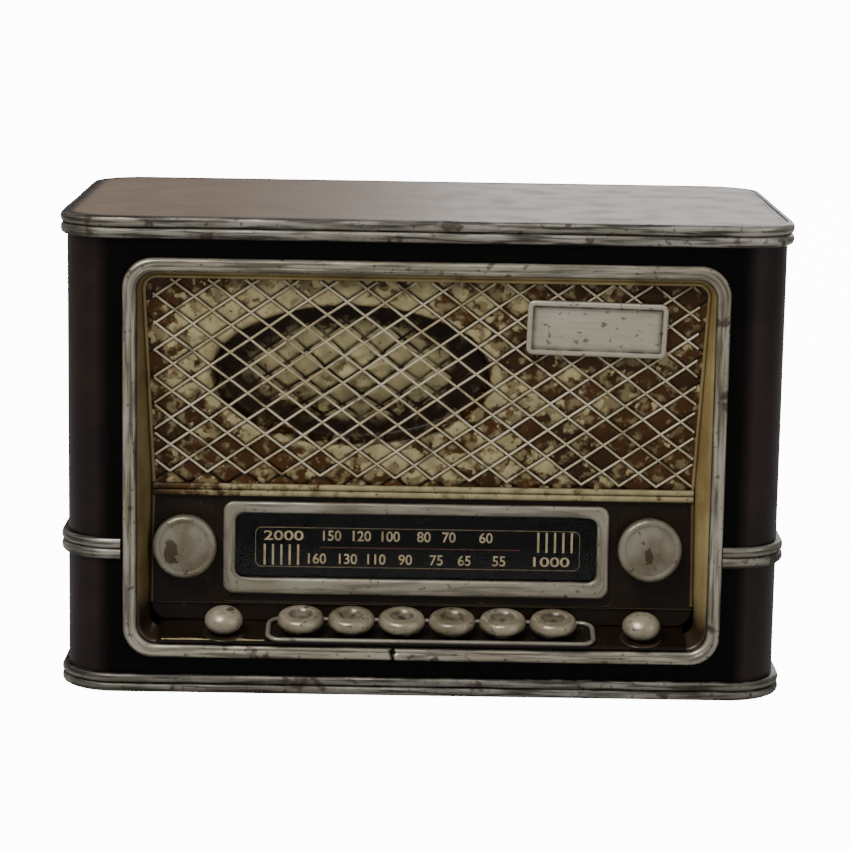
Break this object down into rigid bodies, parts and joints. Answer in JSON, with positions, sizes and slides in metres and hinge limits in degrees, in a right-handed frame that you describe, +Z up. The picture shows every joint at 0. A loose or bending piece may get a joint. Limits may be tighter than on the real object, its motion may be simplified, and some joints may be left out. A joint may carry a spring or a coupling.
{
  "type": "wind-up music box",
  "caption": "Tinplate wind-up music box shaped as a vintage table radio: framed wire grille, dial window, domed knobs, press keys, winding key at the back.",
  "frame": {"origin": "centre of the cabinet's underside, where it rests", "axes": "+X to the right as seen from the front, +Y from the front towards the back, +Z up"},
  "size_m": [0.17, 0.1186, 0.1115],
  "materials": {
    "brown_lacquer": "satin lacquer, worn at the edges",
    "lid_lacquer": "satin lacquer, rubbed",
    "silver_paint": "brushed silver paint with a dark patina",
    "cream_paint": "aged cream paint",
    "grille_paint": "brown over blotchy cream",
    "wire_paint": "beige wires",
    "fascia_brown": "dark brown gloss",
    "scale_print": "gloss black with printed numbers",
    "dial_glass": "clear",
    "gold_paint": "worn gold",
    "tin_plate": "bare tinplate",
    "brass": "turned",
    "steel": "fine brushed",
    "spring_steel": "blued"
  },
  "bodies": {
    "case": {"cabinet_shell": "brown_lacquer", "lid_panel": "lid_lacquer", "lid_rim": "silver_paint", "base_plate": "tin_plate", "base_rim": "silver_paint", "waist_band": "silver_paint", "front_frame": "silver_paint", "reveal_liner": "cream_paint", "grille_panel": "grille_paint", "speaker_pan": "grille_paint", "grille_mesh": "wire_paint", "name_plate": "silver_paint", "crossbar": "gold_paint", "dial_panel": "fascia_brown", "dial_bezel": "silver_paint", "dial_scale": "scale_print", "dial_glass": "dial_glass", "key_shelf": "fascia_brown", "key_tray": "silver_paint", "knob_bushes": "fascia_brown", "knob_nuts": "brass", "ball_knob_collars": "silver_paint", "key_spring_1": "spring_steel", "key_spring_2": "spring_steel", "key_spring_3": "spring_steel", "key_spring_4": "spring_steel", "key_spring_5": "spring_steel", "key_spring_6": "spring_steel", "back_cover": "brown_lacquer", "back_cover_screws": "steel", "bedplate": "brass", "movement_screws": "steel", "front_bridge": "brass", "rear_bridge": "brass", "bridge_screws": "steel", "comb": "steel", "comb_screws": "steel", "governor_frame": "brass"},
    "left_knob": {"left_knob": "silver_paint"},
    "right_knob": {"right_knob": "silver_paint"},
    "left_ball_knob": {"left_ball_knob": "silver_paint"},
    "right_ball_knob": {"right_ball_knob": "silver_paint"},
    "key_1": {"key_1": "silver_paint"},
    "key_2": {"key_2": "silver_paint"},
    "key_3": {"key_3": "silver_paint"},
    "key_4": {"key_4": "silver_paint"},
    "key_5": {"key_5": "silver_paint"},
    "key_6": {"key_6": "silver_paint"},
    "winding": {"winding_arbor": "steel", "ratchet_wheel": "steel", "winding_key": "steel"},
    "click": {"click": "steel"},
    "barrel": {"spring_barrel": "brass", "barrel_cap": "brass", "mainspring": "spring_steel"},
    "cylinder": {"cylinder_arbor": "brass", "pin_cylinder": "brass"},
    "governor_wheel": {"governor_wheel": "brass"},
    "fly": {"fly": "steel"}
  },
  "joints": [
    {"name": "left_knob_turn", "type": "hinge", "parent": "case", "child": "left_knob", "pos_m": [-0.0557, -0.03888, 0.03324], "axis": [0, -0.9984, 0.0558], "range_deg": [-140, 140]},
    {"name": "right_knob_turn", "type": "hinge", "parent": "case", "child": "right_knob", "pos_m": [0.0533, -0.03883, 0.03403], "axis": [0, -0.9984, 0.0558], "range_deg": [-140, 140]},
    {"name": "left_ball_knob_turn", "type": "hinge", "parent": "case", "child": "left_ball_knob", "pos_m": [-0.04615, -0.04469, 0.01669], "axis": [0, -0.2149, 0.9766], "range_deg": [-135, 135]},
    {"name": "right_ball_knob_turn", "type": "hinge", "parent": "case", "child": "right_ball_knob", "pos_m": [0.05135, -0.04469, 0.01669], "axis": [0, -0.2149, 0.9766], "range_deg": [-135, 135]},
    {"name": "key_1_press", "type": "slide", "parent": "case", "child": "key_1", "axis": [0, 0.2149, -0.9766], "range_m": [0, 0.0009], "stiffness_N_per_m": 400, "springref_m": -0.0008, "deforming": ["key_spring_1"]},
    {"name": "key_2_press", "type": "slide", "parent": "case", "child": "key_2", "axis": [0, 0.2149, -0.9766], "range_m": [0, 0.0009], "stiffness_N_per_m": 400, "springref_m": -0.0008, "deforming": ["key_spring_2"]},
    {"name": "key_3_press", "type": "slide", "parent": "case", "child": "key_3", "axis": [0, 0.2149, -0.9766], "range_m": [0, 0.0009], "stiffness_N_per_m": 400, "springref_m": -0.0008, "deforming": ["key_spring_3"]},
    {"name": "key_4_press", "type": "slide", "parent": "case", "child": "key_4", "axis": [0, 0.2149, -0.9766], "range_m": [0, 0.0009], "stiffness_N_per_m": 400, "springref_m": -0.0008, "deforming": ["key_spring_4"]},
    {"name": "key_5_press", "type": "slide", "parent": "case", "child": "key_5", "axis": [0, 0.2149, -0.9766], "range_m": [0, 0.0009], "stiffness_N_per_m": 400, "springref_m": -0.0008, "deforming": ["key_spring_5"]},
    {"name": "key_6_press", "type": "slide", "parent": "case", "child": "key_6", "axis": [0, 0.2149, -0.9766], "range_m": [0, 0.0009], "stiffness_N_per_m": 400, "springref_m": -0.0008, "deforming": ["key_spring_6"]},
    {"name": "winding_turn", "type": "hinge", "parent": "case", "child": "winding", "pos_m": [0.024, 0.008, 0.024], "axis": [0, 1, 0], "range_deg": [0, 1800]},
    {"name": "click_swing", "type": "hinge", "parent": "case", "child": "click", "pos_m": [0.035, 0.028, 0.031], "axis": [0, 1, 0], "range_deg": [-12, 0]},
    {"name": "barrel_spin", "type": "hinge", "parent": "case", "child": "barrel", "pos_m": [0.024, 0.008, 0.024], "axis": [0, 1, 0], "continuous": true},
    {"name": "cylinder_spin", "type": "hinge", "parent": "case", "child": "cylinder", "pos_m": [0, 0.008, 0.024], "axis": [0, 1, 0], "continuous": true},
    {"name": "governor_wheel_spin", "type": "hinge", "parent": "case", "child": "governor_wheel", "pos_m": [-0.009, 0.008, 0.036], "axis": [0, 1, 0], "continuous": true},
    {"name": "fly_spin", "type": "hinge", "parent": "case", "child": "fly", "pos_m": [-0.01575, -0.01, 0.036], "axis": [0, 0, 1], "continuous": true}
  ],
  "couplings": [
    {"joint": "cylinder_spin", "follows": "barrel_spin", "ratio": -1.5},
    {"joint": "governor_wheel_spin", "follows": "barrel_spin", "ratio": 6},
    {"joint": "fly_spin", "follows": "barrel_spin", "ratio": -120}
  ]
}
